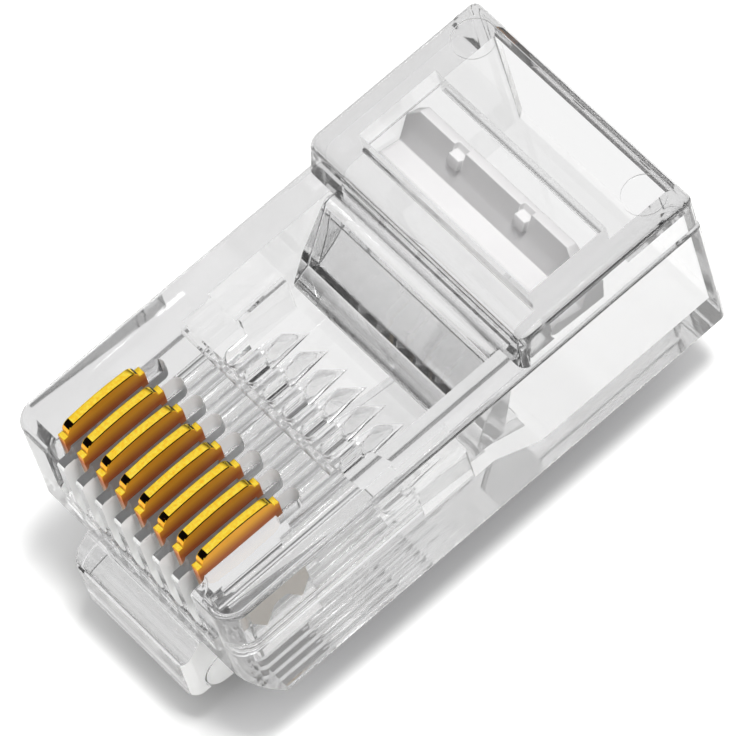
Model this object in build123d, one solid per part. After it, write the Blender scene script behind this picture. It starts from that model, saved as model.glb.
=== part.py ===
from build123d import *
import os
from math import sqrt

# Eight-position, eight-contact modular plug, as it is before it is crimped to a cable.
# Millimetres. X runs across the plug, Y from the nose to the cable end, and Z up, with
# the contacts on top and the latch lever underneath.
# While the pieces are drawn, Y is 0 at the nose face and Z is 0 at the underside of the
# body. At the end every piece moves by the same amount, so that the origin lies under
# the middle of the plug, at the level of its lowest point.

# Body and collar
body_width = 11.68
body_length = 21.6
body_height = 6.5
nose_face_height = 4.45
nose_bevel_length = 1.35
nose_corner_radius = 0.9
rear_corner_radius = 0.35
body_edge_radius = 0.22
collar_foot = 13.5
collar_lean = 0.35
collar_height = 1.72
collar_inset = 0.12
collar_lip_radius = 0.55
collar_edge_radius = 0.35
ejector_mark_radius = 0.82
ejector_mark_depth = 0.06
ejector_mark_across = 8.9
ejector_mark_from_rear = 1.15

# Eight contacts, stamped from strip
contact_count = 8
contact_pitch = 1.02
contact_thickness = 0.35
contact_front = 0.62
contact_length = 3.66
contact_proud = 1.05
crown_rise = 0.07
foot_length = 0.23
foot_drop = 0.5
shoulder_radius = 0.4
shank_top_depth = 0.85
shank_front = 1.25
shank_rear = 3.8
tooth_depth = 3.15
tooth_flank_depth = 2.4
arch_depth = 2.3
tooth_setback = 0.48
tooth_tip_width = 0.06
crimp_travel = 1.5
contact_clearance = 0.02
contact_end_clearance = 0.03

# Comb of slots over the contacts
comb_slot_width = 0.66
comb_axis_front = 1.8
comb_axis_depth = 0.6
comb_reach = 0.91
relief_length = 0.55
relief_radius = 0.3
relief_depth = 0.9
ridge_width = 0.34
ridge_height = 0.12
ridge_radius = 0.11
ridge_side_gap = 1.0

# Wire channels and the open pocket behind them
channel_radius = 0.46
channel_height = 2.7
channel_nose_wall = 0.75
pocket_front = 6.6
pocket_slope_length = 0.45
comb_wall_rear = 8.5
divider_height = 3.55
divider_gap = 0.7
trough_front = 7.3
divider_slope_side = 4.28
divider_tip_top = 0.85
divider_tip_floor = 1.9
wire_row_side_gap = 0.04

# Inner width and the cable cavity
inner_width = 8.92
pocket_panel_front = 7.9
pocket_panel_lean = 0.55
pocket_ledge_height = 4.05
pocket_ledge_rear = 10.7
ramp_start = 11.6
cavity_front = 13.5
cavity_floor = 1.1
bridge_drop = 0.45
rear_roof = 1.42
window_front = 15.2
window_length = 3.5
entry_chamfer = 0.35

# Conductor strain-relief bar, hung from the bridge by its rear upper edge. The hinge is
# placed from the collar's foot and the bridge's underside, and the corners from the hinge.
moving_gap = 0.05
bar_side_gap = 0.06
knuckle_radius = 0.3
conductor_hinge_ahead = 0.2
conductor_hinge_rise = 0.1
conductor_bar_crest = (-1.6, -1.55)
conductor_bar_toe = (-2.35, -2.95)
conductor_bar_heel = (-1.0, -2.95)

# Cable strain-relief bar, hinged at the window's front edge, with its corners placed
# from the hinge
cable_hinge_behind = 0.25
cable_bar_heel = (2.05, -0.45)
cable_bar_top_rear = (2.33, 1.25)
cable_bar_top_front = (1.93, 1.45)
cable_bar_face_foot = (1.1, -0.05)
cable_web_rise = 0.23
cable_bar_end_chamfer = 0.55
cable_nub_spacing = 3.45
cable_nub_width = 0.55
cable_nub_height = 0.5
cable_nub_stand = 0.22
cable_nub_notch_depth = 0.3

# Latch lever and its root under the nose
latch_width = 6.1
root_reach = 0.95
root_top = 1.25
root_shelf = 0.3
root_shelf_drop = 0.1
root_bottom = -1.35
root_rear = 1.0
root_corner_radius = 0.45
latch_hinge_y = 0.55
latch_hinge_z = -0.85
latch_knuckle_radius = 0.85
latch_root_thickness = 0.95
shoulder_y = 8.0
shoulder_inner_z = -1.5
tail_width = 3.25
tail_end_y = 14.4
tail_inner_z = -2.6
tail_outer_z = -3.5
tail_end_radius = 0.4

# How far a cutting solid runs past what it cuts, how near an edge lies to the height
# that it is picked by, and the largest share of a wall that a fillet takes
past = 0.5
near = 0.01
fillet_share = 0.95

# Worked out from the sizes above
contact_rear = contact_front + contact_length
contact_top = body_height + contact_proud
contact_tip = body_height - tooth_depth
channel_floor = channel_height - channel_radius
collar_top = body_height + collar_height
bridge_underside = body_height - bridge_drop
cavity_rear_ceiling = collar_top - rear_roof
window_rear = window_front + window_length
conductor_hinge_y = collar_foot - conductor_hinge_ahead
conductor_hinge_z = bridge_underside + conductor_hinge_rise
cable_hinge_y = window_front + cable_hinge_behind
cable_hinge_z = bridge_underside + knuckle_radius
latch_root_bottom = latch_hinge_z - latch_knuckle_radius
shoulder_share = (shoulder_y - latch_hinge_y) / (tail_end_y - latch_hinge_y)
shoulder_outer_z = latch_root_bottom + shoulder_share * (tail_outer_z - latch_root_bottom)
half_wire_row = contact_count * contact_pitch / 2 + wire_row_side_gap
contact_places = [(i - (contact_count - 1) / 2) * contact_pitch for i in range(contact_count)]


def across(outline, width, centre=0.0):
    """A solid with this side outline, extruded across the plug."""
    return Pos(centre, 0, 0) * extrude(outline, width / 2, both=True)


def side(points):
    """A side outline from (Y, Z) points."""
    return Plane.YZ * Polygon(*points, align=None)


def cross_rod(y, z, radius, width):
    """A round rod lying across the plug."""
    return Pos(0, y, z) * Rot(0, 90, 0) * Cylinder(radius, width)


def brick(x0, x1, y0, y1, z0, z1):
    """A plain block between two corners."""
    return Pos((x0 + x1) / 2, (y0 + y1) / 2, (z0 + z1) / 2) * Box(x1 - x0, y1 - y0, z1 - z0)


def body_shell():
    """The outside of the body: a block with a bevelled nose underside."""
    outline = side([
        (0, body_height - nose_face_height),
        (nose_bevel_length, 0),
        (body_length, 0),
        (body_length, body_height),
        (0, body_height),
    ])
    block = across(outline, body_width)
    upright = block.edges().filter_by(Axis.Z)
    block = fillet(upright.group_by(Axis.Y)[0], nose_corner_radius)
    block = fillet(block.edges().filter_by(Axis.Z).group_by(Axis.Y)[-1], rear_corner_radius)
    rims = block.edges().filter_by(Axis.Y).group_by(Axis.Z)
    return fillet(rims[0] + rims[-1], body_edge_radius)


def collar():
    """The raised rear part, with a rounded front lip that leans back a little."""
    outline = side([
        (collar_foot, body_height - past),
        (body_length, body_height - past),
        (body_length, collar_top),
        (collar_foot + collar_lean, collar_top),
        (collar_foot, body_height),
    ])
    block = across(outline, body_width - 2 * collar_inset)
    top = block.edges().group_by(Axis.Z)[-1]
    lip = top.filter_by(Axis.X).group_by(Axis.Y)[0]
    block = fillet(lip, collar_lip_radius)
    top = block.edges().filter_by_position(Axis.Z, collar_top - near, collar_top + near)
    block = fillet(top.filter_by(Axis.Y), collar_edge_radius)
    back = block.edges().filter_by(Axis.X).group_by(Axis.Y)[-1].group_by(Axis.Z)[-1]
    return fillet(back, rear_corner_radius)


def latch_root():
    """The block under the nose that the latch lever grows from."""
    outline = side([
        (root_shelf, body_height - nose_face_height - root_shelf_drop),
        (-root_reach + root_corner_radius, root_top),
        (-root_reach, root_top - root_corner_radius),
        (-root_reach, root_bottom),
        (root_rear, root_bottom),
        (root_rear, past),
    ])
    block = across(outline, latch_width)
    front = block.edges().filter_by(Axis.Z).group_by(Axis.Y)[0]
    return fillet(front, root_corner_radius)


def ridge():
    """The low bead across the top in front of the pocket."""
    width = inner_width - ridge_side_gap
    bead = brick(-width / 2, width / 2, pocket_front - ridge_width, pocket_front,
                 body_height - past, body_height + ridge_height)
    radius = min(ridge_radius, fillet_share * ridge_height, fillet_share * ridge_width / 2)
    return fillet(bead.edges().filter_by(Axis.X).group_by(Axis.Z)[-1], radius)


def cavity():
    """Pocket, cable cavity and window, which share one inner width."""
    outline = side([
        (pocket_panel_front, collar_top + past),
        (pocket_panel_front, body_height),
        (pocket_panel_front + pocket_panel_lean, pocket_ledge_height),
        (pocket_ledge_rear, pocket_ledge_height),
        (pocket_ledge_rear, channel_floor),
        (ramp_start, channel_floor),
        (cavity_front, cavity_floor),
        (body_length + past, cavity_floor),
        (body_length + past, cavity_rear_ceiling),
        (window_rear, cavity_rear_ceiling),
        (window_rear, collar_top + past),
        (window_front, collar_top + past),
        (window_front, bridge_underside),
        (collar_foot, bridge_underside),
        (collar_foot, collar_top + past),
    ])
    return across(outline, inner_width)


def cable_mouth():
    """The bevel round the cable opening in the rear face."""
    height = cavity_rear_ceiling - cavity_floor
    middle = (cavity_rear_ceiling + cavity_floor) / 2
    mouth = Plane(origin=(0, body_length, middle), z_dir=(0, 1, 0), x_dir=(1, 0, 0))
    outer = mouth * Rectangle(inner_width + 2 * entry_chamfer, height + 2 * entry_chamfer)
    inner = mouth.offset(-entry_chamfer) * Rectangle(inner_width, height)
    return loft([inner, outer])


def divider_space():
    """The space over the wire dividers, and the open floor behind them."""
    slope_end = pocket_front + pocket_slope_length
    slope = side([
        (pocket_front, collar_top),
        (pocket_front, body_height),
        (slope_end, divider_height),
        (comb_wall_rear + moving_gap, divider_height),
        (comb_wall_rear + moving_gap, collar_top),
    ])
    floor = brick(-half_wire_row, half_wire_row, comb_wall_rear, pocket_ledge_rear + moving_gap,
                  channel_floor, pocket_ledge_height + moving_gap)
    return across(slope, 2 * divider_slope_side) + floor


def divider_point(x):
    """The sharp rear end of one wire divider: a short point on top of a longer one."""
    thickness = contact_pitch - divider_gap
    start = comb_wall_rear - moving_gap
    low = Plane.XY.offset(channel_floor - moving_gap) * Polygon(
        (x - thickness / 2, start),
        (x + thickness / 2, start),
        (x, comb_wall_rear + divider_tip_floor),
        align=None)
    high = Plane.XY.offset(divider_height) * Polygon(
        (x - thickness / 2, start),
        (x + thickness / 2, start),
        (x, comb_wall_rear + divider_tip_top),
        align=None)
    return loft([low, high])


def comb_cutter(x):
    """A round-edged disc that cuts one concave comb slot over the nose."""
    axis_y = -comb_axis_front
    axis_z = body_height - comb_axis_depth
    reach = comb_axis_front + comb_reach
    rim = comb_slot_width / 2
    disc = Cylinder(reach - rim, comb_slot_width) + Torus(reach - rim, rim)
    return Pos(x, axis_y, axis_z) * Rot(0, 90, 0) * disc


def contact_slots(x):
    """Slots that one contact slides in, down to its wire channel, and the round relief behind."""
    half = contact_thickness / 2 + contact_clearance
    end = contact_end_clearance
    head_floor = body_height - shank_top_depth - crimp_travel - moving_gap
    shank_floor = contact_tip - crimp_travel - moving_gap
    head = brick(x - half, x + half, contact_front - end, contact_rear + end,
                 head_floor, body_height + past)
    shank = brick(x - half, x + half, shank_front - end, shank_rear + end,
                  shank_floor, body_height)
    relief_rear = contact_rear + relief_length
    relief = brick(x - relief_radius, x + relief_radius, contact_rear - relief_radius, relief_rear,
                   body_height - relief_depth, body_height + past)
    relief += Pos(x, relief_rear, body_height - relief_depth) * Cylinder(
        relief_radius, relief_depth + past, align=(Align.CENTER, Align.CENTER, Align.MIN))
    return head + shank + relief


def wire_channel(x):
    """One round wire channel, with its open, round-ended trough where it enters the pocket."""
    length = comb_wall_rear + moving_gap - channel_nose_wall
    hole = Pos(x, channel_nose_wall + length / 2, channel_height) * Rot(90, 0, 0) * Cylinder(
        channel_radius, length)
    half = divider_gap / 2
    top = divider_height + moving_gap
    trough = brick(x - half, x + half, trough_front + half, comb_wall_rear + moving_gap,
                   channel_height, top)
    round_end = Pos(x, trough_front + half, channel_height) * Cylinder(
        half, top - channel_height, align=(Align.CENTER, Align.CENTER, Align.MIN))
    return hole + trough + round_end


def ejector_marks():
    """Two shallow round marks left by the mould's ejector pins."""
    y = body_length - ejector_mark_from_rear
    marks = [Pos(s * ejector_mark_across / 2, y, collar_top) * Cylinder(
        ejector_mark_radius, 2 * ejector_mark_depth) for s in (-1, 1)]
    return marks[0] + marks[1]


def hinge_sockets():
    """Round seats for the knuckles of the two bars and of the latch lever."""
    wide = inner_width
    seats = cross_rod(conductor_hinge_y, conductor_hinge_z, knuckle_radius + moving_gap, wide)
    seats += cross_rod(cable_hinge_y, cable_hinge_z, knuckle_radius + moving_gap, wide)
    seats += cross_rod(latch_hinge_y, latch_hinge_z, latch_knuckle_radius + moving_gap,
                       latch_width + past)
    return seats


def latch_room():
    """The space behind the latch root that the lever swings in."""
    outline = side([
        (latch_hinge_y, latch_hinge_z),
        (latch_hinge_y, root_bottom - past),
        (root_rear + past, root_bottom - past),
        (root_rear + past, 0),
        (latch_hinge_y, 0),
    ])
    return across(outline, latch_width + past)


def housing():
    """The clear moulded body with all its cavities."""
    root = latch_root() - latch_room()
    solid = body_shell() + collar() + ridge() + root
    solid -= cavity()
    solid -= cable_mouth()
    solid -= divider_space()
    for x in contact_places:
        solid -= wire_channel(x)
    for x in contact_places:
        solid -= comb_cutter(x)
        solid -= contact_slots(x)
    solid -= ejector_marks()
    solid -= hinge_sockets()
    for left, right in zip(contact_places, contact_places[1:]):
        solid += divider_point((left + right) / 2)
    return solid


def contact(x):
    """One stamped contact: two feet, a low crown between round shoulders, and two piercing teeth."""
    foot_top = contact_top - foot_drop
    crown_end = contact_top - crown_rise
    shoulder_end = crown_end - shoulder_radius
    riser_front = contact_front + foot_length
    riser_rear = contact_rear - foot_length
    crown_front = riser_front + shoulder_radius
    crown_rear = riser_rear - shoulder_radius
    shank_top = body_height - shank_top_depth
    flank = body_height - tooth_flank_depth
    arch = body_height - arch_depth
    middle = (contact_front + contact_rear) / 2
    shank_middle = (shank_front + shank_rear) / 2
    front_tip = shank_front + tooth_setback
    rear_tip = shank_rear - tooth_setback
    half_tip = tooth_tip_width / 2
    outline = [
        Polyline((contact_front, foot_top), (riser_front, foot_top), (riser_front, shoulder_end)),
        RadiusArc((riser_front, shoulder_end), (crown_front, crown_end), shoulder_radius),
        ThreePointArc((crown_front, crown_end), (middle, contact_top), (crown_rear, crown_end)),
        RadiusArc((crown_rear, crown_end), (riser_rear, shoulder_end), shoulder_radius),
        Polyline(
            (riser_rear, shoulder_end),
            (riser_rear, foot_top),
            (contact_rear, foot_top),
            (contact_rear, shank_top),
            (shank_rear, shank_top),
            (shank_rear, flank),
            (rear_tip + half_tip, contact_tip),
            (rear_tip - half_tip, contact_tip),
            (rear_tip - tooth_setback, flank)),
        ThreePointArc((rear_tip - tooth_setback, flank), (shank_middle, arch),
                      (front_tip + tooth_setback, flank)),
        Polyline(
            (front_tip + tooth_setback, flank),
            (front_tip + half_tip, contact_tip),
            (front_tip - half_tip, contact_tip),
            (shank_front, flank),
            (shank_front, shank_top),
            (contact_front, shank_top),
            (contact_front, foot_top)),
    ]
    blank = Plane.YZ * make_face(Wire(Curve(outline).edges()))
    return across(blank, contact_thickness, x)


def conductor_bar():
    """The bar that folds down on the eight wires when the plug is crimped."""
    slant = knuckle_radius * sqrt(0.5)
    outline = side([
        (-slant, slant),
        conductor_bar_crest,
        conductor_bar_toe,
        conductor_bar_heel,
        (0, -knuckle_radius),
        (0, 0),
    ])
    width = inner_width - 2 * bar_side_gap
    bar = across(outline, width) + cross_rod(0, 0, knuckle_radius, width)
    return Pos(0, conductor_hinge_y, conductor_hinge_z) * bar


def cable_bar():
    """The inclined bar that folds down on the cable jacket, with two nubs on its face."""
    outline = side([
        (0, -knuckle_radius),
        cable_bar_heel,
        cable_bar_top_rear,
        cable_bar_top_front,
        cable_bar_face_foot,
        (0, cable_web_rise),
    ])
    width = inner_width - 2 * bar_side_gap
    bar = across(outline, width)
    ends = bar.edges().filter_by_position(Axis.Z, cable_bar_top_rear[1] - near, cable_bar_top_front[1] + near)
    bar = chamfer(ends.filter_by(Axis.X, reverse=True), cable_bar_end_chamfer)
    bar += cross_rod(0, 0, knuckle_radius, width)
    run_y = cable_bar_top_front[0] - cable_bar_face_foot[0]
    run_z = cable_bar_top_front[1] - cable_bar_face_foot[1]
    length = sqrt(run_y ** 2 + run_z ** 2)
    face = Plane(
        origin=(0, *cable_bar_top_front),
        x_dir=(1, 0, 0),
        z_dir=(0, -run_z / length, run_y / length))
    notch = Pos(0, (past - cable_nub_notch_depth) / 2, 0) * Box(
        cable_nub_width, past + cable_nub_notch_depth, 2 * cable_nub_stand)
    nub = Pos(0, -cable_nub_notch_depth - cable_nub_height / 2, 0) * Box(
        cable_nub_width, cable_nub_height, 2 * cable_nub_stand)
    for x in (-cable_nub_spacing / 2, cable_nub_spacing / 2):
        bar -= face * Pos(x, 0, 0) * notch
        bar += face * Pos(x, 0, 0) * nub
    return Pos(0, cable_hinge_y, cable_hinge_z) * bar


def latch():
    """The sprung lever: a wide part with locking shoulders and a narrow finger tail.

    Its underside is one straight line from the root to the end of the tail."""
    root_y = latch_hinge_y + latch_knuckle_radius
    wide = side([
        (latch_hinge_y, latch_root_bottom),
        (shoulder_y, shoulder_outer_z),
        (shoulder_y, shoulder_inner_z),
        (root_y, latch_hinge_z + latch_root_thickness / 2),
        (latch_hinge_y, latch_hinge_z + latch_root_thickness / 2),
    ])
    tail = side([
        (shoulder_y, shoulder_outer_z),
        (tail_end_y, tail_outer_z),
        (tail_end_y, tail_inner_z),
        (shoulder_y, shoulder_inner_z),
    ])
    finger = across(tail, tail_width)
    tip = finger.edges().filter_by(Axis.Z).group_by(Axis.Y)[-1]
    finger = fillet(tip, tail_end_radius)
    lever = across(wide, latch_width) + finger
    return lever + cross_rod(latch_hinge_y, latch_hinge_z, latch_knuckle_radius, latch_width)


def build():
    """Every piece by name, in its place on the plug."""
    pieces = {
        "housing": housing(),
        "latch_lever": latch(),
        "conductor_strain_relief_bar": conductor_bar(),
        "cable_strain_relief_bar": cable_bar(),
    }
    for number, x in enumerate(contact_places, start=1):
        pieces[f"contact_{number}"] = contact(x)
    return pieces


def main():
    pieces = build()
    whole = Compound([solid for piece in pieces.values() for solid in piece.solids()]).bounding_box()
    home = Pos(-whole.center().X, -whole.center().Y, -whole.min.Z)
    os.makedirs("parts", exist_ok=True)
    for name, piece in pieces.items():
        export_step(home * piece, f"parts/{name}.step")
    print("moved by", home.position)


main()
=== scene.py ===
from math import pi, radians

import bmesh
import bpy
from bpy.props import FloatProperty, FloatVectorProperty, PointerProperty
from mathutils import Matrix, Vector


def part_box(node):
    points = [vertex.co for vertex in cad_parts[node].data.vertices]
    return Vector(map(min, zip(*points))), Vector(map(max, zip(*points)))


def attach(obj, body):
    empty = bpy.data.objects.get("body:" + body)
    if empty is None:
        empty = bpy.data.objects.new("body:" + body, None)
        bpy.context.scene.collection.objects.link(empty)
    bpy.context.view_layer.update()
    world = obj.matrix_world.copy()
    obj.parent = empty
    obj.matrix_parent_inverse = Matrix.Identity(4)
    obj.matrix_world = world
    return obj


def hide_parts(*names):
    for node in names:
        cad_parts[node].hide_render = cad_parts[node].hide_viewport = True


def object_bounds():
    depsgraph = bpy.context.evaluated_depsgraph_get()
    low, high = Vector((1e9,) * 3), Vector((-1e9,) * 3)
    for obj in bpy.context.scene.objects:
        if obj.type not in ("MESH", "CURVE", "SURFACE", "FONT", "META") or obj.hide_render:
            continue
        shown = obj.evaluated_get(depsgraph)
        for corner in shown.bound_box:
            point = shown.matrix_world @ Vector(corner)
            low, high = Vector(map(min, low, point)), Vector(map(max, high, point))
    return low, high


bl_info = {
    "name": "Modular Plug",
    "version": (1, 0, 0),
    "blender": (4, 5, 0),
    "location": "3D View > Sidebar > Modular Plug",
    "description": "Finishes the pieces of a clear modular plug and sets up its studio",
    "category": "Object",
}

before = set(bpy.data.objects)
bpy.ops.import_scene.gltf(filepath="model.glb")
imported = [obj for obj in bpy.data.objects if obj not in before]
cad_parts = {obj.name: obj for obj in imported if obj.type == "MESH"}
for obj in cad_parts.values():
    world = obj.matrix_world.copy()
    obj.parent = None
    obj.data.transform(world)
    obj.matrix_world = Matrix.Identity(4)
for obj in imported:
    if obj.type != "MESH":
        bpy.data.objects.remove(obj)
cad_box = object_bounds()

# Millimetres to metres
MM = 0.001


def srgb(code):
    """The linear colour of an sRGB hex value, with full alpha."""
    linear = []
    for start in (1, 3, 5):
        part = int(code[start:start + 2], 16) / 255
        linear.append(part / 12.92 if part <= 0.04045 else ((part + 0.055) / 1.055) ** 2.4)
    return (*linear, 1.0)


# The white of the backdrop
WHITE = srgb("#FFFFFF")


def length(name, text, millimetres):
    """A length property whose default is given in millimetres."""
    return FloatProperty(name=name, description=text, default=millimetres * MM, min=0.0,
                         precision=5, subtype="DISTANCE", unit="LENGTH")


def colour(name, text, code):
    """A colour property whose default is an sRGB hex value."""
    return FloatVectorProperty(name=name, description=text, default=srgb(code), size=4,
                               subtype="COLOR", min=0.0, max=1.0)


class ModularPlugPlastic(bpy.types.PropertyGroup):
    """Sizes and colours of the moulded pieces."""

    edge: length("Edge radius", "Radius that the mould leaves on each sharp edge", 0.05)
    lever_edge: length("Lever edge radius", "Radius on the edges of the latch lever", 0.09)
    bar_edge: length("Bar edge radius", "Radius on the edges of the two strain-relief bars", 0.05)
    tint: colour("Tint", "Light that each polished face of the plastic lets through", "#F9F9F9")
    frost_tint: colour("Frosted tint", "Light that each spark-eroded face lets through", "#FAFAF9")
    bar_tint: colour("Bar tint", "Light that each face of the cable bar lets through", "#E1E0E0")
    body_tint: colour("Body tint", "Colour that light takes deep inside the plastic", "#595756")
    body_density: FloatProperty(
        name="Body density", description="How fast the plastic dims light, per metre",
        default=36.0, min=0.0)
    shade: colour("Shade", "Light that reaches the floor through one face", "#9A9A9C")
    comb_behind: length("Comb behind", "How far the eroded comb reaches behind the contacts", 2.2)
    comb_beside: length("Comb beside", "How far the eroded comb reaches beside the contacts", 0.01)
    comb_top: length("Comb top", "How far below the crowns the eroded comb begins", 1.1)
    comb_below: length("Comb below", "How far the eroded comb reaches below the crowns", 3.9)
    ripple: length("Ripple", "Distance between the faint waves that shrinkage leaves", 2.6)
    ripple_height: length("Ripple height", "Height of those waves", 0.003)
    grain: length("Grain", "Distance between the fine marks of the polished mould", 0.2)
    grain_height: length("Grain height", "Height of those marks", 0.0002)


class ModularPlugContact(bpy.types.PropertyGroup):
    """Sizes and colours of the stamped contacts."""

    edge: length("Edge radius", "Radius that stamping and plating leave on each edge", 0.045)
    gold: colour("Gold", "Colour of the thick gold on the crown and the feet", "#FCC622")
    pale_gold: colour("Pale gold", "Colour of the lighter mottle in the thick gold", "#FFE052")
    flash: colour("Gold flash", "Colour of the thin gold under the crown", "#F7B020")
    # The bronze colour is painted shade and painted reflection: the sides turn to it lower down,
    # between the close contacts
    bronze: colour("Bronze", "Colour of the bronze that shows where the gold ends", "#C05E1A")
    shank: colour("Shank", "Colour of the dull shank inside the housing", "#BBA888")
    # This near-black colour is a painted dark reflection, on contact faces that look dark only from
    # what they mirror
    dark_reflection_colour: colour("Sheared edge", "Colour of the bare faces that the punch sheared", "#0E0804")
    flash_depth: length("Flash depth", "How far below the crown the thin gold begins", 0.35)
    # The painted shade on the sides is darkest this far below the crown
    painted_shade_depth: length("Bronze depth", "How far below the crown the bronze shows most", 0.9)
    shank_depth: length("Shank depth", "How far below the crown the dull shank begins", 2.0)
    grain: length("Grain", "Distance between the rolling marks of the strip", 0.12)
    grain_height: length("Grain height", "Height of the rolling marks", 0.0005)


class ModularPlugStudio(bpy.types.PropertyGroup):
    """The camera, the lights and the floor."""

    azimuth: FloatProperty(name="Azimuth", description="Turn of the camera round the plug",
                           default=radians(66.35), subtype="ANGLE")
    elevation: FloatProperty(name="Elevation", description="Height of the camera as an angle",
                             default=radians(59.61), subtype="ANGLE")
    roll: FloatProperty(name="Roll", description="Turn of the camera about its own axis",
                        default=radians(-19.6), subtype="ANGLE")
    distance: length("Distance", "From the camera to the point that it looks at", 335.94)
    lens: FloatProperty(name="Lens", description="Focal length in millimetres", default=484.7,
                        unit="CAMERA")
    floor_size: length("Floor size", "Length of one side of the floor", 1200.0)
    floor: colour("Floor", "Colour of the floor", "#F4F4F3")
    card: colour("Card", "Colour of the dark cards round the paper", "#363636")
    paper_radius: length("Paper radius", "How far the lit paper reaches round the plug", 24.0)
    card_radius: length("Card radius", "Where the dark cards begin", 42.0)
    lamp_size: length("Lamp size", "Length of one side of the soft lamp", 75.0)
    lamp_distance: length("Lamp distance", "From the lamp to the plug", 320.0)
    lamp_power: FloatProperty(name="Lamp power", description="Power of the soft lamp in watts",
                              default=1.3, min=0.0, unit="POWER")


def add_node(tree, kind, inputs=None, **settings):
    """Adds one node, sets its properties, and gives each input a value or another node's output."""
    made = tree.nodes.new(kind)
    for name, value in settings.items():
        setattr(made, name, value)
    for key, value in (inputs or {}).items():
        if isinstance(value, bpy.types.NodeSocket):
            tree.links.new(value, made.inputs[key])
        else:
            made.inputs[key].default_value = value
    return made


def new_material(name):
    """An empty node material with its output."""
    material = bpy.data.materials.new(name)
    material.use_nodes = True
    tree = material.node_tree
    tree.nodes.clear()
    return material, tree


def finish_material(tree, surface, inside=None):
    """Sends the shaders of a surface and of what is inside it to the material's output."""
    inputs = {"Surface": surface}
    if inside:
        inputs["Volume"] = inside
    add_node(tree, "ShaderNodeOutputMaterial", inputs)


def waves(tree, position, spacing, detail):
    """A noise whose features are this far apart on the plug."""
    noise = add_node(tree, "ShaderNodeTexNoise", {
        "Vector": position, "Scale": 1 / spacing, "Detail": detail, "Roughness": 0.5})
    return noise.outputs["Fac"]


# The haze of a moulded face wanders from its roughness to this many times as much, over this
# middle part of its noise
HAZE_SPREAD = 2.2
HAZE_PART = (0.35, 0.7)


def polycarbonate(name, tint, roughness, grain_gain, clarity):
    """Clear polycarbonate, injection moulded against a polished or spark-eroded mould.

    Its body is faintly grey in depth, which darkens the edges that the eye looks along."""
    look = bpy.context.scene.modular_plug_plastic
    material, tree = new_material(name)
    position = add_node(tree, "ShaderNodeTexCoord").outputs["Object"]
    ripple = add_node(tree, "ShaderNodeBump", {
        "Strength": 1.0,
        "Distance": look.ripple_height,
        "Height": waves(tree, position, look.ripple, detail=1.0)})
    grain = add_node(tree, "ShaderNodeBump", {
        "Strength": 1.0,
        "Distance": look.grain_height * grain_gain,
        "Height": waves(tree, position, look.grain, detail=2.0),
        "Normal": ripple.outputs["Normal"]})
    haze = add_node(tree, "ShaderNodeMapRange", {
        "Value": waves(tree, position, look.ripple, detail=3.0),
        "From Min": HAZE_PART[0], "From Max": HAZE_PART[1],
        "To Min": roughness, "To Max": roughness * HAZE_SPREAD})
    plastic = add_node(tree, "ShaderNodeBsdfPrincipled", {
        "Base Color": tint,
        "Roughness": haze.outputs["Result"],
        "IOR": 1.586,
        "Transmission Weight": clarity,
        "Normal": grain.outputs["Normal"]})
    clear = add_node(tree, "ShaderNodeBsdfTransparent", {"Color": look.shade})
    rays = add_node(tree, "ShaderNodeLightPath")
    both = add_node(tree, "ShaderNodeMixShader", {
        "Fac": rays.outputs["Is Shadow Ray"],
        1: plastic.outputs["BSDF"],
        2: clear.outputs["BSDF"]})
    depth = add_node(tree, "ShaderNodeVolumeAbsorption", {
        "Color": look.body_tint, "Density": look.body_density})
    finish_material(tree, both.outputs["Shader"], depth.outputs["Volume"])
    return material


def polished_polycarbonate():
    """The mould is polished, so faces are glossy and see-through, with a faint ripple."""
    return polycarbonate("polycarbonate_polished_mould",
                         bpy.context.scene.modular_plug_plastic.tint,
                         roughness=0.015, grain_gain=0.2, clarity=0.98)


def eroded_polycarbonate():
    """The mould is spark-eroded here, which leaves a fine matt face that blurs what is behind."""
    return polycarbonate("polycarbonate_spark_eroded",
                         bpy.context.scene.modular_plug_plastic.frost_tint,
                         roughness=0.25, grain_gain=6.0, clarity=0.35)


def eroded_bar_polycarbonate():
    """The cable bar is spark-eroded more coarsely, so it looks milky and grey."""
    return polycarbonate("polycarbonate_spark_eroded_bar",
                         bpy.context.scene.modular_plug_plastic.bar_tint,
                         roughness=0.3, grain_gain=6.0, clarity=0.5)


def ramp(tree, value, stops):
    """A colour that changes with a value, through (place, colour) stops in rising order."""
    made = add_node(tree, "ShaderNodeValToRGB", {"Fac": value})
    band = made.color_ramp
    first, *middle, last = stops
    for element, (place, shade) in zip(band.elements, (first, last)):
        element.position = place
        element.color = shade
    for place, shade in middle:
        band.elements.new(place).color = shade
    return made.outputs["Color"]


# The plating's colours reach down to this many times the depth where the dull shank begins
PLATING_REACH = 1.3

# The rolling marks are drawn out along the strip, so their noise runs this much slower there
ROLLING_STRETCH = (1.0, 0.15, 1.0)

# The middle part of the marks' noise, and the roughness of the thin gold over it
MARKS_PART = (0.3, 0.7)
THIN_GOLD_ROUGHNESS = (0.34, 0.46)


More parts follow.
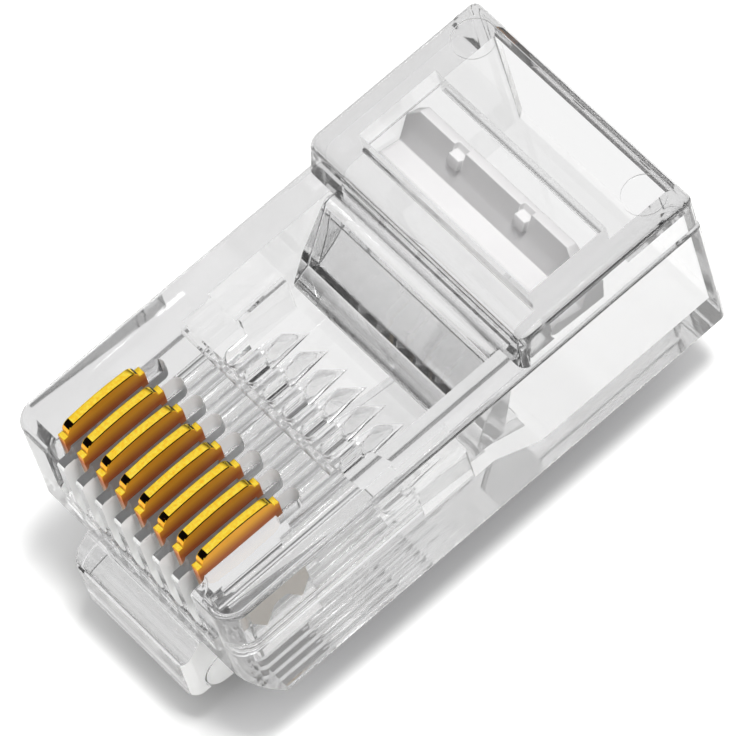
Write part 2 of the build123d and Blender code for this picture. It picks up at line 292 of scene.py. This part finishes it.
def gold_plating(crown_top):
    """Phosphor bronze strip, plated thickly on the crown and thinly below.

    The darker, redder colour lower on the sides is painted shade and painted reflection of the
    neighbouring gold, where the contacts stand close. Its rolled sides are satin, so they take the
    light softly and don't mirror the studio."""
    look = bpy.context.scene.modular_plug_contact
    material, tree = new_material("gold_plated_stamped_bronze")
    position = add_node(tree, "ShaderNodeTexCoord").outputs["Object"]
    height = add_node(tree, "ShaderNodeSeparateXYZ", {"Vector": position}).outputs["Z"]
    deepest = PLATING_REACH * look.shank_depth
    depth = add_node(tree, "ShaderNodeMapRange", {
        "Value": height, "From Min": crown_top, "From Max": crown_top - deepest})
    # Thin gold, turning darker and redder further down the sides as painted shade and painted
    # reflection of the neighbouring contacts, then the dull shank
    plating = ramp(tree, depth.outputs["Result"], (
        (0.0, look.flash),
        (look.flash_depth / deepest, look.flash),
        (look.painted_shade_depth / deepest, look.bronze),
        (look.shank_depth / deepest, look.shank)))
    stretched = add_node(tree, "ShaderNodeMapping", {
        "Vector": position, "Scale": ROLLING_STRETCH})
    marks = waves(tree, stretched.outputs["Vector"], look.grain, detail=3.0)
    bump = add_node(tree, "ShaderNodeBump", {
        "Strength": 1.0, "Distance": look.grain_height, "Height": marks})
    sheen = add_node(tree, "ShaderNodeMapRange", {
        "Value": marks, "From Min": MARKS_PART[0], "From Max": MARKS_PART[1],
        "To Min": THIN_GOLD_ROUGHNESS[0], "To Max": THIN_GOLD_ROUGHNESS[1]})
    gold = add_node(tree, "ShaderNodeBsdfPrincipled", {
        "Base Color": plating,
        "Metallic": 0.45,
        "Roughness": sheen.outputs["Result"],
        "Normal": bump.outputs["Normal"]})
    finish_material(tree, gold.outputs["BSDF"])
    return material


# Where the mottle of the thick gold turns from gold to pale gold, in its noise
MOTTLE_PART = (0.3, 0.62)

# Where the noise of the painted dark reflection turns from dark to bronze, which shows only in a
# few specks
SPECK_PART = (0.68, 1.0)


def thick_gold():
    """Electroplated gold on the crown and the feet: bright, with a faint mottle from the bath."""
    look = bpy.context.scene.modular_plug_contact
    material, tree = new_material("gold_electroplated_thick")
    position = add_node(tree, "ShaderNodeTexCoord").outputs["Object"]
    mottle = waves(tree, position, look.grain, detail=3.0)
    bump = add_node(tree, "ShaderNodeBump", {
        "Strength": 1.0, "Distance": look.grain_height, "Height": mottle})
    gold = add_node(tree, "ShaderNodeBsdfPrincipled", {
        "Base Color": ramp(tree, mottle, (
            (MOTTLE_PART[0], look.gold),
            (MOTTLE_PART[1], look.pale_gold))),
        "Metallic": 1.0,
        "Roughness": 0.2,
        "Normal": bump.outputs["Normal"]})
    finish_material(tree, gold.outputs["BSDF"])
    return material


def painted_dark_reflection():
    """Painted dark reflection: near-black, rough bronze with a few bronze specks, on faces that
    look dark only from what they mirror.
    """
    look = bpy.context.scene.modular_plug_contact
    material, tree = new_material("bronze_painted_dark_reflection")
    position = add_node(tree, "ShaderNodeTexCoord").outputs["Object"]
    speck_noise = waves(tree, position, look.grain, detail=3.0)
    darkened = add_node(tree, "ShaderNodeBsdfPrincipled", {
        "Base Color": ramp(tree, speck_noise, (
            (SPECK_PART[0], look.dark_reflection_colour),
            (SPECK_PART[1], look.bronze))),
        "Metallic": 1.0,
        "Roughness": 0.4})
    finish_material(tree, darkened.outputs["BSDF"])
    return material


# Points closer than this are one point of a moulded piece, faces that turn less than this are
# one flat face, and an edge that turns more than this is sharp and gets a radius
WELD = 0.002 * MM
FLAT = radians(0.6)
SHARP = radians(28.0)

# A contact's face takes a near-black painted dark reflection on the upper part of its front
# shoulder, between these two tilts, on the lower part of its rear shoulder, and as a painted dark
# line along one crown edge
FRONT_DARK_REFLECTION = (0.1, 0.72)
REAR_DARK_REFLECTION = 0.75
SHOULDER_DEPTH = 0.48 * MM
DARK_LINE_FACING = 0.3
DARK_LINE_DEPTH = 0.14 * MM

# A contact's face takes the thick gold where it looks this much upwards
GOLD_FACING = 0.6

# A face looks squarely up, to the front or to the right from this share of its normal on
SQUARELY = 0.999

# The rim of an ejector mark looks sideways and lies this close to the collar's top
MARK_FACING = 0.5
MARK_DEPTH = 0.08 * MM

# The right end of the latch root, where the moulding was cut from its runner and is matt, looks
# this much to the right, lies at most this far behind the contacts' front and at least this far
# below their crowns
RUNNER_FACING = 0.4
RUNNER_BEHIND = 0.4 * MM
RUNNER_BELOW = 6.3 * MM

# On the lever the matt end reaches this far behind the front of its knuckle
KNUCKLE_END = 1.6 * MM


def closed_form(node):
    """The CAD node's shape as one closed skin, with a single face on each flat."""
    form = bmesh.new()
    form.from_mesh(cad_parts[node].data)
    bmesh.ops.remove_doubles(form, verts=form.verts, dist=WELD)
    bmesh.ops.dissolve_limit(form, angle_limit=FLAT, verts=form.verts, edges=form.edges)
    return form


def finished_piece(form, node, name, materials):
    """Turns a skin into the piece that stands for a CAD node."""
    mesh = bpy.data.meshes.new(name)
    form.to_mesh(mesh)
    form.free()
    for material in materials:
        mesh.materials.append(material)
    mesh.shade_smooth()
    piece = bpy.data.objects.new(name, mesh)
    bpy.context.scene.collection.objects.link(piece)
    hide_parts(node)
    return piece


def keep_flats_flat(piece):
    """Lets large faces set the normals, so that a flat face reflects and bends light as a flat."""
    weighted = piece.modifiers.new("flat_faces", "WEIGHTED_NORMAL")
    weighted.mode = "FACE_AREA"
    weighted.weight = 100


def moulded_copy(node, name, radius, materials, segments=2, frosted=None, seam=None):
    """A moulded piece: the CAD node's shape with a small radius on its sharp edges.

    Where frosted says that a face is spark-eroded, it takes the second material. A seam parts the
    faces at that place along the plug, so that a finish can end there."""
    form = closed_form(node)
    if seam is not None:
        bmesh.ops.bisect_plane(form, geom=form.verts[:] + form.edges[:] + form.faces[:], dist=WELD,
                               plane_co=(0.0, seam, 0.0), plane_no=(0.0, 1.0, 0.0))
    for face in form.faces:
        face.material_index = int(bool(frosted and frosted(face)))
    piece = finished_piece(form, node, name, materials)
    bevel = piece.modifiers.new("edge_radius", "BEVEL")
    bevel.width = radius
    bevel.segments = segments
    bevel.limit_method = "ANGLE"
    bevel.angle_limit = SHARP
    keep_flats_flat(piece)
    return piece


def plating_of(face, crown_top):
    """Which plating a contact's face has: 0 thin gold, 1 painted dark reflection, 2 thick gold."""
    facing = face.normal
    depth = crown_top - face.calc_center_median().z
    along = abs(facing.x) < DARK_LINE_FACING
    front = along and FRONT_DARK_REFLECTION[0] < -facing.y < FRONT_DARK_REFLECTION[1] and facing.z > 0
    rear = along and facing.y > REAR_DARK_REFLECTION
    dark_line = facing.x > DARK_LINE_FACING and facing.z > DARK_LINE_FACING and depth < DARK_LINE_DEPTH
    # Parts of the shoulders and one crown edge take the painted dark reflection
    if depth < SHOULDER_DEPTH and (front or rear) or dark_line:
        return 1
    return 2 if facing.z > GOLD_FACING else 0


def stamped_copy(node, name, radius, materials):
    """A stamped contact: rounded edges, and a plating for each face."""
    form = closed_form(node)
    sharp = [edge for edge in form.edges if edge.calc_face_angle(0.0) > SHARP]
    bmesh.ops.bevel(form, geom=sharp, offset=radius, affect="EDGES", segments=2, profile=0.5,
                    material=-1, clamp_overlap=True)
    crown_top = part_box(node)[1][2]
    for face in form.faces:
        face.material_index = plating_of(face, crown_top)
    piece = finished_piece(form, node, name, materials)
    keep_flats_flat(piece)
    return piece


def place(piece, body, slot):
    """Fixes a finished piece to its body."""
    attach(piece, body)


def eroded_test():
    """A test that tells whether a face of the housing is spark-eroded: those in its comb of
    slots and channels, the rims of the two round ejector marks and the latch root's right end."""
    look = bpy.context.scene.modular_plug_plastic
    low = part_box("contact_1")[0]
    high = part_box("contact_8")[1]
    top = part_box("housing")[1][2]

    def eroded(face):
        middle = face.calc_center_median()
        outside = face.normal.z > SQUARELY or face.normal.y < -SQUARELY
        in_comb = (not outside
                   and middle.y < high[1] + look.comb_behind
                   and abs(middle.x) < high[0] + look.comb_beside
                   and look.comb_top < high[2] - middle.z < look.comb_below)
        round_mark = abs(face.normal.z) < MARK_FACING and middle.z > top - MARK_DEPTH
        runner_end = (face.normal.x > RUNNER_FACING
                      and middle.y < low[1] + RUNNER_BEHIND
                      and middle.z < high[2] - RUNNER_BELOW)
        return in_comb or round_mark or runner_end

    return eroded


class MODULAR_PLUG_OT_housing(bpy.types.Operator):
    """The clear moulded housing."""

    bl_idname = "modular_plug.housing"
    bl_label = "Housing"

    def execute(self, context):
        look = context.scene.modular_plug_plastic
        materials = [polished_polycarbonate(), eroded_polycarbonate()]
        piece = moulded_copy("housing", "housing_moulding", look.edge, materials,
                             frosted=eroded_test())
        place(piece, "housing", "clear_polycarbonate")
        return {"FINISHED"}


class MODULAR_PLUG_OT_latch(bpy.types.Operator):
    """The sprung latch lever."""

    bl_idname = "modular_plug.latch"
    bl_label = "Latch lever"

    def execute(self, context):
        look = context.scene.modular_plug_plastic
        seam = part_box("latch_lever")[0][1] + KNUCKLE_END

        def knuckle_end(face):
            return face.normal.x > SQUARELY and face.calc_center_median().y < seam

        materials = [polished_polycarbonate(), eroded_polycarbonate()]
        piece = moulded_copy("latch_lever", "latch_lever_moulding", look.lever_edge, materials,
                             segments=3, frosted=knuckle_end, seam=seam)
        place(piece, "latch_lever", "clear_polycarbonate")
        return {"FINISHED"}


class MODULAR_PLUG_OT_bars(bpy.types.Operator):
    """The two strain-relief bars."""

    bl_idname = "modular_plug.bars"
    bl_label = "Strain-relief bars"

    def execute(self, context):
        look = context.scene.modular_plug_plastic
        conductor = moulded_copy("conductor_strain_relief_bar", "conductor_bar_moulding",
                                 look.bar_edge, [polished_polycarbonate()])
        place(conductor, "conductor_bar", "clear_polycarbonate")
        cable = moulded_copy("cable_strain_relief_bar", "cable_bar_moulding",
                             look.bar_edge, [eroded_bar_polycarbonate()])
        place(cable, "cable_bar", "clear_polycarbonate")
        return {"FINISHED"}


class MODULAR_PLUG_OT_contacts(bpy.types.Operator):
    """The eight gold-plated contacts."""

    bl_idname = "modular_plug.contacts"
    bl_label = "Contacts"

    def execute(self, context):
        look = context.scene.modular_plug_contact
        materials = [gold_plating(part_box("contact_1")[1][2]), painted_dark_reflection(), thick_gold()]
        names = sorted(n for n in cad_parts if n.startswith("contact_"))
        for name in names:
            piece = stamped_copy(name, name + "_plated", look.edge, materials)
            place(piece, name, "gold_plated_contact")
        return {"FINISHED"}


# Share of plain white in the paper, as it is seen directly or in a mirror. Through the plastic
# the paper is all plain white, because a path tracer doesn't find the light that falls there
CAMERA_WHITE = 0.08


def floor_material(studio):
    """White paper that keeps the plug's soft shadow, with dark cards round it that the camera
    sees only through the plastic and in its faces, where they draw dark edges."""
    material, tree = new_material("white_paper_matt")
    paper = add_node(tree, "ShaderNodeBsdfDiffuse", {"Color": studio.floor, "Roughness": 0.0})
    rays = add_node(tree, "ShaderNodeLightPath")
    position = add_node(tree, "ShaderNodeTexCoord").outputs["Object"]
    away = add_node(tree, "ShaderNodeVectorMath", {0: position}, operation="LENGTH")
    cards = add_node(tree, "ShaderNodeMapRange", {
        "Value": away.outputs["Value"],
        "From Min": studio.paper_radius,
        "From Max": studio.card_radius})
    seen = add_node(tree, "ShaderNodeMath", {
        0: cards.outputs["Result"],
        1: rays.outputs["Is Camera Ray"]}, operation="SUBTRACT", use_clamp=True)
    white = add_node(tree, "ShaderNodeEmission", {
        "Color": ramp(tree, seen.outputs["Value"], ((0.0, WHITE), (1.0, studio.card))),
        "Strength": 1.0})
    direct = add_node(tree, "ShaderNodeMath", {
        0: rays.outputs["Is Camera Ray"],
        1: rays.outputs["Is Glossy Ray"]}, operation="MAXIMUM")
    dimmed = add_node(tree, "ShaderNodeMath", {
        0: direct.outputs["Value"], 1: CAMERA_WHITE}, operation="MULTIPLY")
    share = add_node(tree, "ShaderNodeMath", {
        0: dimmed.outputs["Value"],
        1: rays.outputs["Is Transmission Ray"]}, operation="MAXIMUM")
    both = add_node(tree, "ShaderNodeMixShader", {
        "Fac": share.outputs["Value"],
        1: paper.outputs["BSDF"],
        2: white.outputs["Emission"]})
    finish_material(tree, both.outputs["Shader"])
    return material


# The tent's cloth by height: dark low down, pale above and white overhead
TENT_BANDS = ((0.05, "#373736"), (0.22, "#636261"), (0.4, "#B8B8B9"), (0.7, "#FFFFFF"))
TENT_STRENGTH = 0.95


def studio_world():
    """A white tent with a darker band low down, which draws the edges of clear plastic."""
    world = bpy.data.worlds.new("studio_tent")
    bpy.context.scene.world = world
    world.use_nodes = True
    tree = world.node_tree
    tree.nodes.clear()
    direction = add_node(tree, "ShaderNodeTexCoord").outputs["Generated"]
    height = add_node(tree, "ShaderNodeSeparateXYZ", {"Vector": direction}).outputs["Z"]
    cloth = ramp(tree, height, [(place, srgb(code)) for place, code in TENT_BANDS])
    tent = add_node(tree, "ShaderNodeBackground", {"Color": cloth, "Strength": TENT_STRENGTH})
    white = add_node(tree, "ShaderNodeBackground", {"Color": WHITE, "Strength": 1.0})
    rays = add_node(tree, "ShaderNodeLightPath")
    both = add_node(tree, "ShaderNodeMixShader", {
        "Fac": rays.outputs["Is Camera Ray"],
        1: tent.outputs["Background"],
        2: white.outputs["Background"]})
    add_node(tree, "ShaderNodeOutputWorld", {"Surface": both.outputs["Shader"]})


# The point that the camera looks at, across and along the plug, and below its highest point
AIM_ACROSS = 1.75 * MM
AIM_ALONG = -0.445 * MM
AIM_BELOW_TOP = 1.72 * MM

# Width of the camera's sensor, in the millimetres that its focal length is given in
SENSOR_WIDTH = 36.0

# Nothing nearer to the camera than the first or farther than the second is drawn, in metres
CLIP_NEAR = 0.01
CLIP_FAR = 10.0


def add_camera(studio):
    """The long lens of the product photograph, rolled so that the plug lies across the frame."""
    turn = (Matrix.Rotation(studio.azimuth, 4, "Z")
            @ Matrix.Rotation(pi / 2 - studio.elevation, 4, "X")
            @ Matrix.Rotation(studio.roll, 4, "Z"))
    aim = Vector((AIM_ACROSS, AIM_ALONG, cad_box[1][2] - AIM_BELOW_TOP))
    lens = bpy.data.cameras.new("camera")
    lens.lens = studio.lens
    lens.sensor_width = SENSOR_WIDTH
    lens.sensor_fit = "HORIZONTAL"
    lens.clip_start = CLIP_NEAR
    lens.clip_end = CLIP_FAR
    camera = bpy.data.objects.new("camera", lens)
    back = Matrix.Translation((0, 0, studio.distance))
    camera.matrix_world = Matrix.Translation(aim) @ turn @ back
    bpy.context.scene.collection.objects.link(camera)
    bpy.context.scene.camera = camera


# The lamp hangs overhead, a little to the right and towards the cable end
LAMP_TOWARDS = (0.2, 0.12, 0.97)


def add_lamp(studio):
    """One soft lamp, which keeps the shadow close to the plug.

    The tent's cloth hides it from gloss, so no mirrored lamp burns out on an edge."""
    light = bpy.data.lights.new("soft_lamp", "AREA")
    light.shape = "SQUARE"
    light.size = studio.lamp_size
    light.energy = studio.lamp_power
    lamp = bpy.data.objects.new("soft_lamp", light)
    towards = Vector(LAMP_TOWARDS).normalized()
    lamp.location = towards * studio.lamp_distance
    lamp.rotation_euler = towards.to_track_quat("Z", "Y").to_euler()
    lamp.visible_glossy = False
    bpy.context.scene.collection.objects.link(lamp)


def add_floor(studio):
    """The pale floor under the plug."""
    mesh = bpy.data.meshes.new("floor")
    form = bmesh.new()
    bmesh.ops.create_grid(form, x_segments=1, y_segments=1, size=studio.floor_size / 2)
    form.to_mesh(mesh)
    form.free()
    mesh.materials.append(floor_material(studio))
    floor = bpy.data.objects.new("floor", mesh)
    bpy.context.scene.collection.objects.link(floor)


# How often light may bounce: clear walls in clear walls need many
GLASS_BOUNCES = 32
GLOSS_BOUNCES = 12
SHADOW_BOUNCES = 48


class MODULAR_PLUG_OT_stage(bpy.types.Operator):
    """The floor, the lights and the camera."""

    bl_idname = "modular_plug.stage"
    bl_label = "Studio"

    def execute(self, context):
        scene = context.scene
        studio = scene.modular_plug_studio
        scene.view_settings.view_transform = "Standard"
        scene.cycles.max_bounces = GLASS_BOUNCES
        scene.cycles.transmission_bounces = GLASS_BOUNCES
        scene.cycles.glossy_bounces = GLOSS_BOUNCES
        scene.cycles.transparent_max_bounces = SHADOW_BOUNCES
        scene.cycles.caustics_refractive = False
        scene.cycles.caustics_reflective = False
        studio_world()
        add_floor(studio)
        add_lamp(studio)
        add_camera(studio)
        return {"FINISHED"}


class MODULAR_PLUG_PT_panel(bpy.types.Panel):
    """Lists the steps that finish the plug."""

    bl_idname = "MODULAR_PLUG_PT_panel"
    bl_label = "Modular Plug"
    bl_space_type = "VIEW_3D"
    bl_region_type = "UI"
    bl_category = "Modular Plug"

    def draw(self, context):
        for operator in OPERATORS:
            self.layout.operator(operator.bl_idname)
        for group in GROUPS:
            look = getattr(context.scene, group)
            box = self.layout.box()
            for name in look.bl_rna.properties.keys():
                if name not in ("rna_type", "name"):
                    box.prop(look, name)


OPERATORS = (
    MODULAR_PLUG_OT_housing,
    MODULAR_PLUG_OT_latch,
    MODULAR_PLUG_OT_bars,
    MODULAR_PLUG_OT_contacts,
    MODULAR_PLUG_OT_stage,
)
GROUPS = {
    "modular_plug_plastic": ModularPlugPlastic,
    "modular_plug_contact": ModularPlugContact,
    "modular_plug_studio": ModularPlugStudio,
}


def register():
    """Adds the plug's properties, operators and panel."""
    for name, group in GROUPS.items():
        bpy.utils.register_class(group)
        setattr(bpy.types.Scene, name, PointerProperty(type=group))
    for item in OPERATORS + (MODULAR_PLUG_PT_panel,):
        bpy.utils.register_class(item)


def unregister():
    """Takes them away again."""
    for item in (MODULAR_PLUG_PT_panel,) + OPERATORS:
        bpy.utils.unregister_class(item)
    for name, group in GROUPS.items():
        delattr(bpy.types.Scene, name)
        bpy.utils.unregister_class(group)


def main():
    """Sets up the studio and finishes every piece."""
    register()
    bpy.ops.modular_plug.stage()
    bpy.ops.modular_plug.housing()
    bpy.ops.modular_plug.latch()
    bpy.ops.modular_plug.bars()
    bpy.ops.modular_plug.contacts()


if __name__ == "__main__":
    main()
